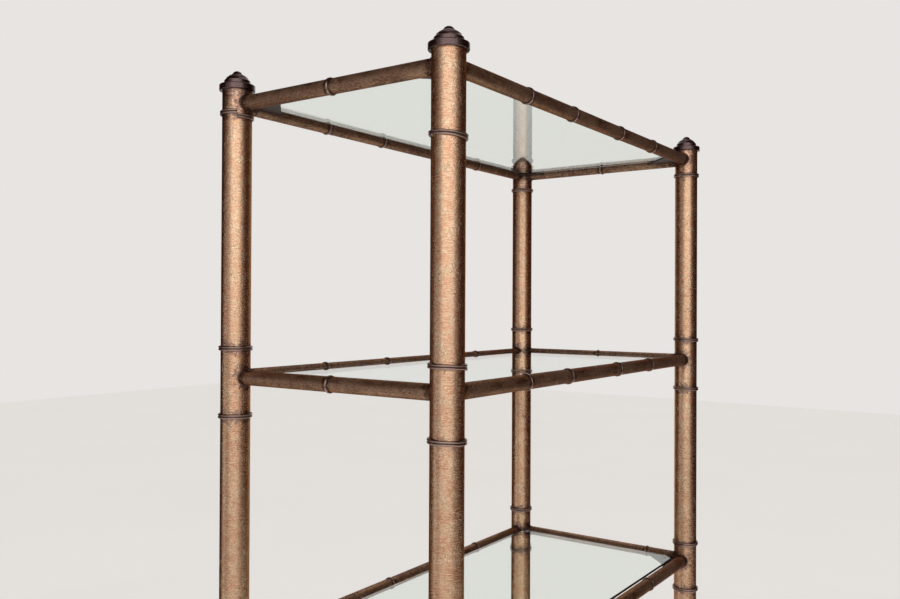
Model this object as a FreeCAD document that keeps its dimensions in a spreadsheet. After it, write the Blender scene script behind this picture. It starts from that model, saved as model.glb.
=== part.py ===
import FreeCAD, Part
import math
import os
import re

import Sketcher
from FreeCAD import Vector

# A free-standing etagere: four round tube posts, five tiers of welded tube rails, and loose glass shelves that lie
# on small plates in the corners of each tier. Millimetres. The origin is on the floor under the middle, +Z is up,
# +X is to the right and the front faces -Y. Tier 1 is the lowest.

TIERS = (1, 2, 3, 4, 5)
TOP_TIER = TIERS[-1]

# Each post: its name, and the signs of its X and Y.
POSTS = (
    ("front_left", "-", "-"),
    ("front_right", "+", "-"),
    ("back_left", "-", "+"),
    ("back_right", "+", "+"),
)

# Every driving size: its name in the sheet, its value and what it is.
DRIVING_SIZES = (
    # the frame
    ("long_pitch", 860.0, "post axis to post axis, left to right"),
    ("short_pitch", 394.0, "post axis to post axis, front to back"),
    ("lowest_rail_height", 150.0, "floor to the axes of the lowest rails"),
    ("tier_pitch", 414.0, "rail axes of one tier to those of the next"),
    ("post_diameter", 44.45, "outside of a post"),
    ("post_wall", 2.0, "wall of a post"),
    ("post_top_rise", 18.0, "top of a post above the axes of the top rails"),
    ("rail_diameter", 22.2, "outside of a rail"),
    ("rail_wall", 1.6, "wall of a rail"),
    ("weld_gap", 0.2, "root gap between pieces that are welded together"),
    ("plate_thickness", 3.0, "corner plate"),
    ("plate_support", 28.0, "how far a corner plate reaches in under the glass, along the diagonal"),
    # the glass
    ("glass_thickness", 4.76, "glass shelf"),
    ("glass_edge_gap", 5.0, "rail collar to the edge of the glass"),
    ("glass_corner_gap", 11.4, "post collar to the cut-off corner of the glass"),
    ("glass_arris", 0.6, "bevel along the edges of the glass"),
    ("bumper_diameter", 8.0, "vinyl bumper"),
    ("bumper_thickness", 0.8, "vinyl bumper"),
    # the finials
    ("plug_clearance", 0.1, "radial clearance of a spigot or plug in its post"),
    ("finial_spigot_length", 25.0, "spigot inside the post"),
    ("finial_overhang", 4.5, "flange past the outside of the post"),
    ("finial_flange_height", 9.3, "flange"),
    ("finial_flange_round", 1.2, "rounding of the flange's edges"),
    ("finial_drum_diameter", 39.0, "drum on the flange"),
    ("finial_drum_height", 6.4, "drum on the flange"),
    ("finial_shoulder_diameter", 31.2, "where the steep shoulder meets the flatter cone"),
    ("finial_shoulder_height", 4.6, "shoulder above the drum"),
    ("finial_neck_diameter", 19.2, "top of the cone"),
    ("finial_cone_height", 4.8, "cone above the shoulder"),
    ("finial_knob_diameter", 16.0, "knob at its base"),
    ("finial_knob_height", 6.2, "domed knob"),
    ("finial_ridge_radius", 0.5, "half-round ridges on the shoulder and the cone"),
    # the foot glides
    ("glide_inset", 0.7, "flange inside the outside of the post"),
    ("glide_thickness", 5.0, "flange under the post"),
    ("glide_round", 1.5, "rounding of the flange's lower edge"),
    ("glide_plug_length", 20.0, "plug inside the post"),
    # the collars, slid on loosely and soldered
    ("collar_clearance", 0.2, "radial clearance of a collar on its tube"),
    ("post_collar_rise", 3.4, "post collar past the outside of the post"),
    ("post_collar_bead", 3.4, "height of each of the two beads"),
    ("post_collar_groove", 0.3, "groove between the two beads"),
    ("post_collar_groove_depth", 0.6, "groove between the two beads"),
    ("rail_collar_rise", 1.8, "rail collar past the outside of the rail"),
    ("rail_collar_width", 5.5, "rail collar along its rail"),
    ("rail_collar_side", 0.4, "straight side of a rail collar under its rounded face"),
    # where the collars belong
    ("top_collar_drop", 33.0, "collar under the top tier, below the rail axes"),
    ("upper_collar_rise", 44.0, "collar above a lower tier, above the rail axes"),
    ("lower_collar_drop", 59.5, "collar below a lower tier, below the rail axes"),
    ("outer_ring_reach", 197.0, "outer rail collars, from the post axes"),
    ("inner_ring_reach", 87.0, "inner rail collars, from the middle of the rail"),
    # how far collars sit off those places, up along a post
    ("slip_back_left_tier_5_lower", 16.0, "post collar, up"),
    ("slip_front_left_tier_5_lower", -57.5, "post collar, up"),
    ("slip_front_right_tier_5_lower", 1.0, "post collar, up"),
    ("slip_back_right_tier_5_lower", -1.0, "post collar, up"),
    ("slip_front_left_tier_4_upper", -9.5, "post collar, up"),
    ("slip_front_right_tier_4_upper", -2.5, "post collar, up"),
    ("slip_back_left_tier_4_lower", 1.5, "post collar, up"),
    ("slip_back_right_tier_4_upper", 10.5, "post collar, up"),
    ("slip_back_right_tier_4_lower", 20.0, "post collar, up"),
    ("slip_front_right_tier_3_upper", -9.5, "post collar, up"),
    ("slip_back_right_tier_3_upper", 5.5, "post collar, up"),
    ("slip_back_right_tier_3_lower", 10.0, "post collar, up"),
    # and along a rail, to the right or to the back
    ("slip_front_tier_5_inner_left", -3.0, "rail collar"),
    ("slip_front_tier_5_inner_right", 2.0, "rail collar"),
    ("slip_front_tier_5_outer_right", 5.0, "rail collar"),
    ("slip_front_tier_4_inner_left", -15.0, "rail collar"),
    ("slip_front_tier_4_inner_right", -3.0, "rail collar"),
    ("slip_front_tier_4_outer_right", -6.0, "rail collar"),
    ("slip_front_tier_3_outer_right", -3.0, "rail collar"),
    ("slip_back_tier_5_inner_left", 1.0, "rail collar"),
    ("slip_back_tier_4_inner_left", 20.0, "rail collar"),
    ("slip_back_tier_3_inner_left", 32.0, "rail collar"),
    ("slip_back_tier_3_outer_right", 3.0, "rail collar"),
    ("slip_left_tier_5_middle", 3.0, "rail collar"),
    ("slip_left_tier_4_middle", 2.0, "rail collar"),
    ("slip_right_tier_5_middle", -6.0, "rail collar"),
    ("slip_right_tier_4_middle", 2.0, "rail collar"),
    ("slip_right_tier_3_middle", -113.0, "rail collar"),
    # how far the tops of the posts and the free edges of the hand-cut plates are off
    ("slip_front_left_top", -1.7, "top of a post, up"),
    ("slip_front_right_top", 0.5, "top of a post, up"),
    ("slip_back_left_top", 2.0, "top of a post, up"),
    ("slip_plate_back_right_tier_3", -11.0, "corner plate, away from its post"),
    ("slip_plate_back_right_tier_5", -11.0, "corner plate, away from its post"),
)
SIZE_NAMES = {name for name, value, note in DRIVING_SIZES}

# Sizes worked out from the driving ones, as formulas.
POST_RADIUS = "(post_diameter / 2)"
POST_BORE = "(post_diameter / 2 - post_wall)"
PLUG_RADIUS = "(post_diameter / 2 - post_wall - plug_clearance)"
POST_TOP = f"(lowest_rail_height + {len(TIERS) - 1} * tier_pitch + post_top_rise)"
RAIL_RADIUS = "(rail_diameter / 2)"
POST_COLLAR_RADIUS = "(post_diameter / 2 + post_collar_rise)"
RAIL_COLLAR_RADIUS = "(rail_diameter / 2 + rail_collar_rise)"
# From a post's axis along the diagonal: to the glass's cut-off corner and to the free edge of the corner plate.
GLASS_CORNER = f"({POST_COLLAR_RADIUS} + glass_corner_gap)"
PLATE_EDGE = f"({GLASS_CORNER} + plate_support)"

doc = FreeCAD.newDocument("Etagere")
nodes = []


# ---- the sheet and its formulas ----

def fill_sheet():
    """Put every driving size in the spreadsheet, one row each, with its name as the cell's alias."""
    made = doc.addObject("Spreadsheet::Sheet", "Sizes")
    for row, (name, value, note) in enumerate(DRIVING_SIZES, start=1):
        made.set(f"A{row}", name)
        made.set(f"B{row}", str(value))
        made.setAlias(f"B{row}", name)
        made.set(f"C{row}", note)
    doc.recompute()
    return made


def in_sheet(formula):
    """The formula with the name of each driving size turned into a reference to its cell."""
    def cell(match):
        word = match.group()
        return f"Sizes.{word}" if word in SIZE_NAMES else word
    return re.sub(r"[a-z][a-z_0-9]*", cell, formula)


def value_of(formula):
    """What the formula comes to now."""
    return float(sheet.evalExpression(in_sheet(formula)))


def bind(item, path, formula):
    """Tie one property to the formula, so that it follows the sheet."""
    item.setExpression(path, in_sheet(formula))


def tier_height(tier):
    """Height of the axes of a tier's rails."""
    return f"(lowest_rail_height + {tier - 1} * tier_pitch)"


def slip(name):
    """How far one feature is off its even place, or nothing if it is there."""
    return f" + slip_{name}" if f"slip_{name}" in SIZE_NAMES else ""


def post_top(name):
    """Height of a post's top, where its finial sits."""
    return f"({POST_TOP}{slip(f'{name}_top')})"


# ---- bodies and sketches ----

def new_node(label, place=("0", "0", "0")):
    """A body whose label names the sub-part, standing at the place that the formulas give."""
    body = doc.addObject("PartDesign::Body", label)
    body.Label = label
    for axis, formula in zip("xyz", place):
        if formula != "0":
            bind(body, f"Placement.Base.{axis}", formula)
    nodes.append(body)
    return body


def new_sketch(body, role, offset=("0", "0", "0")):
    """A sketch on one of the body's own planes, moved within it (x, y) and off it (z) by the offset."""
    plane = next(item for item in body.Origin.OriginFeatures if item.Role == role)
    sketch = body.newObject("Sketcher::SketchObject", "Sketch")
    sketch.AttachmentSupport = [(plane, "")]
    sketch.MapMode = "FlatFace"
    for axis, formula in zip("xyz", offset):
        if formula != "0":
            bind(sketch, f"AttachmentOffset.Base.{axis}", formula)
    return sketch


def constrain(sketch, kind, *where, formula=None):
    """Add one constraint. With a formula it is a dimension tied to the sheet."""
    if formula is None:
        sketch.addConstraint(Sketcher.Constraint(kind, *where))
        return
    index = sketch.addConstraint(Sketcher.Constraint(kind, *where, value_of(formula)))
    name = f"{kind}_{index}"
    sketch.renameConstraint(index, name)
    bind(sketch, f"Constraints.{name}", formula)


ORIGIN = (-1, 1)
AXIS_CODES = {"DistanceX": -2, "DistanceY": -1}
START, END, CENTRE = 1, 2, 3


def place_point(sketch, kind, point, formula, before=None, before_formula=None):
    """Fix a point's x (DistanceX) or y (DistanceY): on the axis, level with the point before, or dimensioned."""
    if formula == before_formula:
        constrain(sketch, "Vertical" if kind == "DistanceX" else "Horizontal", *before, *point)
    elif formula == "0":
        constrain(sketch, "PointOnObject", *point, AXIS_CODES[kind])
    else:
        constrain(sketch, kind, *ORIGIN, *point, formula=formula)


def draw_outline(sketch, corners):
    """Draw one closed outline, and fix each corner by dimensions tied to the sheet.

    A corner is the formulas of its x and y. Two more items make the edge that leaves it an arc: the formulas of
    the arc's centre, and "left" or "right" for the way that it turns.
    """
    spots = [Vector(value_of(corner[0]), value_of(corner[1]), 0) for corner in corners]
    starts = []
    ends = []
    for corner, spot, following in zip(corners, spots, spots[1:] + spots[:1]):
        if len(corner) == 2:
            edge = sketch.addGeometry(Part.LineSegment(spot, following), False)
            starts.append((edge, START))
            ends.append((edge, END))
            continue
        centre = Vector(value_of(corner[2][0]), value_of(corner[2][1]), 0)
        circle = Part.Circle(centre, Vector(0, 0, 1), centre.distanceToPoint(spot))
        first, last = (spot, following) if corner[3] == "left" else (following, spot)
        angles = [math.atan2(end.y - centre.y, end.x - centre.x) for end in (first, last)]
        edge = sketch.addGeometry(Part.ArcOfCircle(circle, *angles), False)
        starts.append((edge, START if corner[3] == "left" else END))
        ends.append((edge, END if corner[3] == "left" else START))
    for end, start in zip(ends, starts[1:] + starts[:1]):
        constrain(sketch, "Coincident", *end, *start)
    for number, corner in enumerate(corners):
        before = (starts[number - 1], corners[number - 1]) if number else (None, (None, None))
        place_point(sketch, "DistanceX", starts[number], corner[0], before[0], before[1][0])
        place_point(sketch, "DistanceY", starts[number], corner[1], before[0], before[1][1])
        if len(corner) > 2:
            following = corners[(number + 1) % len(corners)]
            centre = (starts[number][0], CENTRE)
            # Both ends hold the centre on the line half-way between them, so it needs one more dimension.
            if following[1] == corner[1]:
                place_point(sketch, "DistanceY", centre, corner[2][1])
            else:
                place_point(sketch, "DistanceX", centre, corner[2][0], starts[number], corner[0])


def draw_circle(sketch, diameter, x="0", y="0"):
    """Draw one circle of the diameter about the point x, y, all three of them formulas."""
    centre = Vector(value_of(x), value_of(y), 0)
    edge = sketch.addGeometry(Part.Circle(centre, Vector(0, 0, 1), value_of(diameter) / 2), False)
    place_point(sketch, "DistanceX", (edge, CENTRE), x)
    place_point(sketch, "DistanceY", (edge, CENTRE), y)
    constrain(sketch, "Diameter", edge, formula=diameter)


def pad(body, sketch, length, side="One side", downwards=False):
    """Pad the sketch by the formula's length."""
    made = body.newObject("PartDesign::Pad", "Pad")
    made.Profile = sketch
    made.SideType = side
    made.Reversed = downwards
    bind(made, "Length", length)
    return made


def revolve(body, sketch, axis="V_Axis"):
    """Turn the sketch all the way round one of its own axes."""
    made = body.newObject("PartDesign::Revolution", "Revolution")
    made.Profile = sketch
    made.ReferenceAxis = (sketch, [axis])
    made.Angle = 360
    return made


def dress(body, kind, base, size_property, formula, wanted):
    """Fillet or chamfer those edges of the base feature for which wanted(edge) is true."""
    doc.recompute()
    names = [f"Edge{number}" for number, edge in enumerate(base.Shape.Edges, start=1) if wanted(edge)]
    if not names:
        raise RuntimeError(f"{body.Label}: no edge to dress")
    made = body.newObject(f"PartDesign::{kind}", kind)
    made.Base = (base, names)
    bind(made, size_property, formula)
    return made


def on_circle(formula, lowest_only=False):
    """A test for circular edges of the formula's radius, or for those of them at height 0."""
    radius = value_of(formula)

    def wanted(edge):
        if edge.Degenerated or not isinstance(edge.Curve, Part.Circle):
            return False
        if lowest_only and abs(edge.Curve.Center.z) > 1e-6:
            return False
        return abs(edge.Curve.Radius - radius) < 1e-6
    return wanted


# ---- the pieces ----

def make_post(name, place):
    """A round tube from the glide's flange up to the finial's flange."""
    body = new_node(f"post_{name}", place)
    sketch = new_sketch(body, "XY_Plane", ("0", "0", "glide_thickness"))
    draw_circle(sketch, "post_diameter")
    draw_circle(sketch, f"2 * {POST_BORE}")
    pad(body, sketch, f"{post_top(name)} - glide_thickness")


def make_finial(name, place):
    """A turned finial: spigot, flange, drum, shoulder, cone and knob, with two fine ridges."""
    body = new_node(f"finial_{name}", (*place, post_top(name)))
    flange = f"({POST_RADIUS} + finial_overhang)"
    drum = "(finial_drum_diameter / 2)"
    shoulder = "(finial_shoulder_diameter / 2)"
    neck = "(finial_neck_diameter / 2)"
    knob = "(finial_knob_diameter / 2)"
    drum_top = "(finial_flange_height + finial_drum_height)"
    shoulder_top = f"({drum_top} + finial_shoulder_height)"
    knob_base = f"({shoulder_top} + finial_cone_height)"
    knob_top = f"({knob_base} + finial_knob_height)"
    dome_radius = f"(({knob} * {knob} + finial_knob_height * finial_knob_height) / (2 * finial_knob_height))"
    turned = new_sketch(body, "XZ_Plane")
    draw_outline(turned, (
        ("0", "-finial_spigot_length"),
        (PLUG_RADIUS, "-finial_spigot_length"),
        (PLUG_RADIUS, "0"),
        (flange, "0"),
        (flange, "finial_flange_height"),
        (drum, "finial_flange_height"),
        (drum, drum_top),
        (shoulder, shoulder_top),
        (neck, knob_base),
        (knob, knob_base, ("0", f"({knob_top} - {dome_radius})"), "left"),
        ("0", knob_top),
    ))
    revolve(body, turned)
    ridges = new_sketch(body, "XZ_Plane")
    draw_circle(ridges, "2 * finial_ridge_radius", shoulder, shoulder_top)
    draw_circle(ridges, "2 * finial_ridge_radius", f"({shoulder} + {neck}) / 2", f"({shoulder_top} + {knob_base}) / 2")
    ridged = revolve(body, ridges)
    dress(body, "Fillet", ridged, "Radius", "finial_flange_round", on_circle(flange))


def make_foot_glide(name, place):
    """A plain nylon glide: a flange that carries the post and a plug that fits inside it."""
    body = new_node(f"foot_glide_{name}", place)
    flange = f"({POST_RADIUS} - glide_inset)"
    sketch = new_sketch(body, "XZ_Plane")
    draw_outline(sketch, (
        ("0", "0"),
        (flange, "0"),
        (flange, "glide_thickness"),
        (PLUG_RADIUS, "glide_thickness"),
        (PLUG_RADIUS, "(glide_thickness + glide_plug_length)"),
        ("0", "(glide_thickness + glide_plug_length)"),
    ))
    dress(body, "Fillet", revolve(body, sketch), "Radius", "glide_round", on_circle(flange, lowest_only=True))


def make_post_collars(name, place):
    """Every collar of one post: one under the top tier, and one above and one below each lower tier."""
    body = new_node(f"post_collars_{name}", place)
    heights = [f"({tier_height(TOP_TIER)} - top_collar_drop{slip(f'{name}_tier_{TOP_TIER}_lower')})"]
    for tier in TIERS[:-1]:
        heights.append(f"({tier_height(tier)} + upper_collar_rise{slip(f'{name}_tier_{tier}_upper')})")
        heights.append(f"({tier_height(tier)} - lower_collar_drop{slip(f'{name}_tier_{tier}_lower')})")
    bore = f"({POST_RADIUS} + collar_clearance)"
    nose = f"({POST_COLLAR_RADIUS} - post_collar_bead / 2)"
    groove = f"({nose} - post_collar_groove_depth)"
    inner = "(post_collar_groove / 2)"
    middle = "(post_collar_groove / 2 + post_collar_bead / 2)"
    outer = "(post_collar_groove / 2 + post_collar_bead)"
    for height in heights:
        sketch = new_sketch(body, "XZ_Plane", ("0", height, "0"))
        draw_outline(sketch, (
            (bore, f"-{outer}"),
            (nose, f"-{outer}", (nose, f"-{middle}"), "left"),
            (nose, f"-{inner}"),
            (groove, f"-{inner}"),
            (groove, inner),
            (nose, inner, (nose, middle), "left"),
            (nose, outer),
            (bore, outer),
        ))
        revolve(body, sketch)


def make_rail(name, tier, plane, length, place):
    """A round tube along one side of a tier, with its ends coped to the two posts that it is welded to."""
    body = new_node(f"rail_{name}_tier_{tier}", place)
    section = new_sketch(body, plane)
    draw_circle(section, "rail_diameter")
    draw_circle(section, "rail_diameter - 2 * rail_wall")
    tube = pad(body, section, length, side="Symmetric")
    ends = new_sketch(body, "XY_Plane")
    for sign in "-+":
        along = f"{sign}{length} / 2"
        spot = (along, "0") if plane == "YZ_Plane" else ("0", along)
        draw_circle(ends, "post_diameter + 2 * weld_gap", *spot)
    cope = body.newObject("PartDesign::Pocket", "Cope")
    cope.Profile = ends
    cope.Type = "ThroughAll"
    cope.SideType = "Symmetric"
    doc.recompute()
    if cope.Shape.Volume > tube.Shape.Volume - 1:
        raise RuntimeError(f"{body.Label}: the copes cut nothing")


def make_rail_collars(tier):
    """Every ring collar of one tier: four on each long rail and one on each short rail."""
    body = new_node(f"rail_collars_tier_{tier}", ("0", "0", tier_height(tier)))
    half = "(rail_collar_width / 2)"
    bore = f"({RAIL_RADIUS} + collar_clearance)"
    side = f"({bore} + rail_collar_side)"
    crown = f"({RAIL_COLLAR_RADIUS} - {side})"
    crown_radius = f"(({half} * {half} + {crown} * {crown}) / (2 * {crown}))"
    long_places = (
        ("outer_left", "-(long_pitch / 2 - outer_ring_reach)"),
        ("inner_left", "-inner_ring_reach"),
        ("inner_right", "inner_ring_reach"),
        ("outer_right", "(long_pitch / 2 - outer_ring_reach)"),
    )
    short_places = (("middle", "0"),)
    # The XZ plane's normal points to the front, and the YZ plane's to the right.
    rails = (
        ("front", "XZ_Plane", "short_pitch / 2", long_places),
        ("back", "XZ_Plane", "-short_pitch / 2", long_places),
        ("left", "YZ_Plane", "-long_pitch / 2", short_places),
        ("right", "YZ_Plane", "long_pitch / 2", short_places),
    )
    for rail, plane, out, places in rails:
        for spot, along in places:
            along = f"{along}{slip(f'{rail}_tier_{tier}_{spot}')}"
            sketch = new_sketch(body, plane, (along, "0", out))
            draw_outline(sketch, (
                (f"-{half}", bore),
                (f"-{half}", side, ("0", f"({RAIL_COLLAR_RADIUS} - {crown_radius})"), "right"),
                (half, side),
                (half, bore),
            ))
            revolve(body, sketch, "H_Axis")


def from_corner(sign, pitch, inwards):
    """A formula for the place that lies the given way inwards of the posts on one side."""
    return f"{sign}({pitch} / 2 - {inwards})"


def make_corner_plates(tier):
    """Four triangular plates, each fitted between two rails and round its post, with the top at the rail axes."""
    body = new_node(f"corner_plates_tier_{tier}", ("0", "0", tier_height(tier)))
    side = f"({RAIL_RADIUS} + weld_gap)"
    reach = f"({POST_RADIUS} + weld_gap)"
    by_post = f"sqrt({reach} * {reach} - {side} * {side})"
    sketch = new_sketch(body, "XY_Plane")
    for name, x_sign, y_sign in POSTS:
        tip = f"(sqrt(2) * ({PLATE_EDGE}{slip(f'plate_{name}_tier_{tier}')}) - {side})"
        turn = "right" if x_sign == y_sign else "left"
        draw_outline(sketch, (
            (from_corner(x_sign, "long_pitch", by_post), from_corner(y_sign, "short_pitch", side)),
            (from_corner(x_sign, "long_pitch", tip), from_corner(y_sign, "short_pitch", side)),
            (from_corner(x_sign, "long_pitch", side), from_corner(y_sign, "short_pitch", tip)),
            (from_corner(x_sign, "long_pitch", side), from_corner(y_sign, "short_pitch", by_post),
             (f"{x_sign}long_pitch / 2", f"{y_sign}short_pitch / 2"), turn),
        ))
    pad(body, sketch, "plate_thickness", downwards=True)


def make_glass_bumpers(tier):
    """Four vinyl discs, each a third of the way in from the corner of the glass to the free edge of its plate."""
    body = new_node(f"glass_bumpers_tier_{tier}", ("0", "0", tier_height(tier)))
    inwards = f"({GLASS_CORNER} + plate_support / 3) / sqrt(2)"
    sketch = new_sketch(body, "XY_Plane")
    for name, x_sign, y_sign in POSTS:
        x = from_corner(x_sign, "long_pitch", inwards)
        y = from_corner(y_sign, "short_pitch", inwards)
        draw_circle(sketch, "bumper_diameter", x, y)
    pad(body, sketch, "bumper_thickness")


def make_glass_shelf(tier):
    """A pane that lies on the bumpers inside the rails, with its corners cut off round the posts."""
    body = new_node(f"glass_shelf_tier_{tier}", ("0", "0", f"({tier_height(tier)} + bumper_thickness)"))
    inset = f"({RAIL_COLLAR_RADIUS} + glass_edge_gap)"
    cut = f"(sqrt(2) * {GLASS_CORNER} - {inset})"
    corners = []
    for x_sign, y_sign in (("-", "-"), ("+", "-"), ("+", "+"), ("-", "+")):
        on_side = (from_corner(x_sign, "long_pitch", inset), from_corner(y_sign, "short_pitch", cut))
        on_end = (from_corner(x_sign, "long_pitch", cut), from_corner(y_sign, "short_pitch", inset))
        corners += (on_side, on_end) if x_sign == y_sign else (on_end, on_side)
    sketch = new_sketch(body, "XY_Plane")
    draw_outline(sketch, corners)
    pane = pad(body, sketch, "glass_thickness")
    dress(body, "Chamfer", pane, "Size", "glass_arris", lambda edge: edge.BoundBox.ZLength < 1e-6)


# ---- the whole ----

def build():
    """Make every piece."""
    for name, x_sign, y_sign in POSTS:
        place = (f"{x_sign}long_pitch / 2", f"{y_sign}short_pitch / 2")
        make_post(name, place)
        make_finial(name, place)
        make_foot_glide(name, place)
        make_post_collars(name, place)
    for tier in TIERS:
        height = tier_height(tier)
        make_rail("front", tier, "YZ_Plane", "long_pitch", ("0", "-short_pitch / 2", height))
        make_rail("back", tier, "YZ_Plane", "long_pitch", ("0", "short_pitch / 2", height))
        make_rail("left", tier, "XZ_Plane", "short_pitch", ("-long_pitch / 2", "0", height))
        make_rail("right", tier, "XZ_Plane", "short_pitch", ("long_pitch / 2", "0", height))
        make_rail_collars(tier)
        make_corner_plates(tier)
        make_glass_bumpers(tier)
        make_glass_shelf(tier)
    doc.recompute()


def check():
    """Stop if any object failed, any sketch is loose or any sub-part is not sound."""
    for item in doc.Objects:
        if "Invalid" in item.State or "Error" in item.State:
            raise RuntimeError(f"{item.Label} failed: {item.State}")
        if item.TypeId == "Sketcher::SketchObject" and not item.FullyConstrained:
            raise RuntimeError(f"{item.Label} is not fully constrained")
    for node in nodes:
        if node.Shape.isNull() or not node.Shape.isValid():
            raise RuntimeError(f"{node.Label} has no sound shape")


def export():
    """Write each sub-part to a file of its own."""
    os.makedirs("parts", exist_ok=True)
    for node in nodes:
        node.Shape.exportStep(os.path.join("parts", f"{node.Label}.step"))
        solids = node.Shape.Solids
        print(f"{node.Label}: {len(solids)} solids, {sum(solid.Volume for solid in solids):.0f} mm3")


sheet = fill_sheet()
build()
check()
export()
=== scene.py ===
"""Dresses the frame of a five-tier tube and glass etagere, and stands it in a plain studio."""

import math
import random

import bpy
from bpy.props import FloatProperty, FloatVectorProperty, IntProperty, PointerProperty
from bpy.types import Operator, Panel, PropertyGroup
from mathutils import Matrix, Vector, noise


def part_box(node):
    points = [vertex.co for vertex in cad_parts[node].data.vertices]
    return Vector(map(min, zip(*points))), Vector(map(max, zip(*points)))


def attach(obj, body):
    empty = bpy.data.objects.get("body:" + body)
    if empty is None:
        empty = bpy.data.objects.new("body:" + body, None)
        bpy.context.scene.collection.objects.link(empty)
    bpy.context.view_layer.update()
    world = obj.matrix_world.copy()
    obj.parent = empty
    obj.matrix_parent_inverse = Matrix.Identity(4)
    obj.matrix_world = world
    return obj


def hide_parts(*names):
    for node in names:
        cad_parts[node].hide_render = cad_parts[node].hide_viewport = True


bl_info = {
    "name": "Tube and Glass Etagere",
    "version": (1, 0, 0),
    "blender": (4, 5, 0),
    "location": "3D Viewport > Sidebar > Etagere",
    "description": "Leafed tubes, wire collars, welds, turned finials and glass shelves for the etagere's frame",
    "category": "Object",
}

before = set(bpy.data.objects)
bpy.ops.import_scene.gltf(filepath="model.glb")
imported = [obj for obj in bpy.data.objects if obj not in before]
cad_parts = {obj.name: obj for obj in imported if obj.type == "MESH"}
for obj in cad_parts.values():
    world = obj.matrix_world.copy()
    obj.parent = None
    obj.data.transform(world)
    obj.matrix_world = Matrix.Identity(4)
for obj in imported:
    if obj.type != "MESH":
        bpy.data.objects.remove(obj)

# Lengths are in metres.
MM = 0.001
UP = Vector((0, 0, 1))
# The body that every piece made here rides on.
BODY = "frame"


# ---- what the frame says ----

def middle(node):
    """The middle of a CAD node's box."""
    low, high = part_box(node)
    return (Vector(low) + Vector(high)) / 2


def extent(node):
    """The size of a CAD node's box."""
    low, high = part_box(node)
    return Vector(high) - Vector(low)


POSTS = tuple(name[len("post_"):] for name in sorted(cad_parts)
              if name.startswith("post_") and not name.startswith("post_collars"))
TIERS = tuple(sorted(int(name.rsplit("_", 1)[1]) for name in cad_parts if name.startswith("glass_shelf")))
TOP_TIER = TIERS[-1]
SIDES = ("front", "back", "left", "right")

POST_AXIS = {post: Vector(middle(f"post_{post}").xy) for post in POSTS}
POST_RADIUS = max(extent(f"post_{POSTS[0]}").xy) / 2
POST_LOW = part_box(f"post_{POSTS[0]}")[0][2]
POST_TOP = {post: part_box(f"post_{post}")[1][2] for post in POSTS}
RAIL_RADIUS = extent(f"rail_front_tier_{TOP_TIER}").z / 2
TIER_HEIGHT = {tier: middle(f"rail_front_tier_{tier}").z for tier in TIERS}
HALF_LENGTH = POST_AXIS["front_right"].x
HALF_DEPTH = POST_AXIS["back_right"].y
POST_COLLAR_REACH = extent(f"post_collars_{POSTS[0]}").x / 2

# Along a tube, the corners of one collar's mesh lie closer together than this, and two collars lie further apart.
POST_COLLAR_GAP = 5 * MM
RAIL_COLLAR_GAP = 3 * MM


def clusters(values, gap):
    """The middles of the groups that the values fall into, where groups lie further apart than the gap."""
    groups = []
    for value in sorted(values):
        if groups and value - groups[-1][-1] < gap:
            groups[-1].append(value)
        else:
            groups.append([value])
    return [(group[0] + group[-1]) / 2 for group in groups]


def collar_heights(post):
    """The heights of one post's collars, from the lowest up."""
    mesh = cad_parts[f"post_collars_{post}"].data
    return clusters([vertex.co.z for vertex in mesh.vertices], POST_COLLAR_GAP)


def rail_line(side):
    """Where a side's rails run: the direction along them, and the horizontal offset of their axes."""
    if side in ("front", "back"):
        return Vector((1, 0, 0)), Vector((0, HALF_DEPTH if side == "back" else -HALF_DEPTH, 0))
    return Vector((0, 1, 0)), Vector((HALF_LENGTH if side == "right" else -HALF_LENGTH, 0, 0))


def ring_places(side, tier):
    """Where one rail's collars sit along it."""
    along, offset = rail_line(side)
    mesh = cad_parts[f"rail_collars_tier_{tier}"].data
    near = [vertex.co for vertex in mesh.vertices
            if (vertex.co - offset - vertex.co.dot(along) * along).xy.length < 2 * RAIL_RADIUS]
    half = (HALF_LENGTH if along.x else HALF_DEPTH) - 2 * POST_RADIUS
    return clusters([co.dot(along) for co in near if abs(co.dot(along)) < half], RAIL_COLLAR_GAP)


# ---- colour ----

def linear(code):
    """An sRGB hex code as a linear colour with alpha."""
    parts = [int(code[place:place + 2], 16) / 255 for place in (0, 2, 4)]
    return (*(part / 12.92 if part <= 0.04045 else ((part + 0.055) / 1.055) ** 2.4 for part in parts), 1.0)


# ---- settings ----

class EtagereSizes(PropertyGroup):
    """Sizes that the frame doesn't give."""
    tube_segments: IntProperty(
        name="Tube segments", description="Faces round a post or a rail", default=72, min=24)
    ring_step: FloatProperty(
        name="Ring step", description="Spacing of the rings of faces along a tube", default=5 * MM, unit="LENGTH")
    weld_radius: FloatProperty(
        name="Weld radius", description="Radius of the bead round a rail's end", default=1.4 * MM, unit="LENGTH")
    weld_ripple: FloatProperty(
        name="Weld ripple", description="Height of the ripples of a weld bead", default=0.3 * MM, unit="LENGTH")
    weld_ripple_pitch: FloatProperty(
        name="Ripple pitch", description="Spacing of the ripples of a weld bead", default=3 * MM, unit="LENGTH")
    solder_radius: FloatProperty(
        name="Solder radius", description="Radius of a drop of solder at a collar", default=1.5 * MM, unit="LENGTH")
    scorch_reach: FloatProperty(
        name="Scorch reach", description="How far the flux stain spreads from a joint", default=22 * MM, unit="LENGTH")


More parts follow.
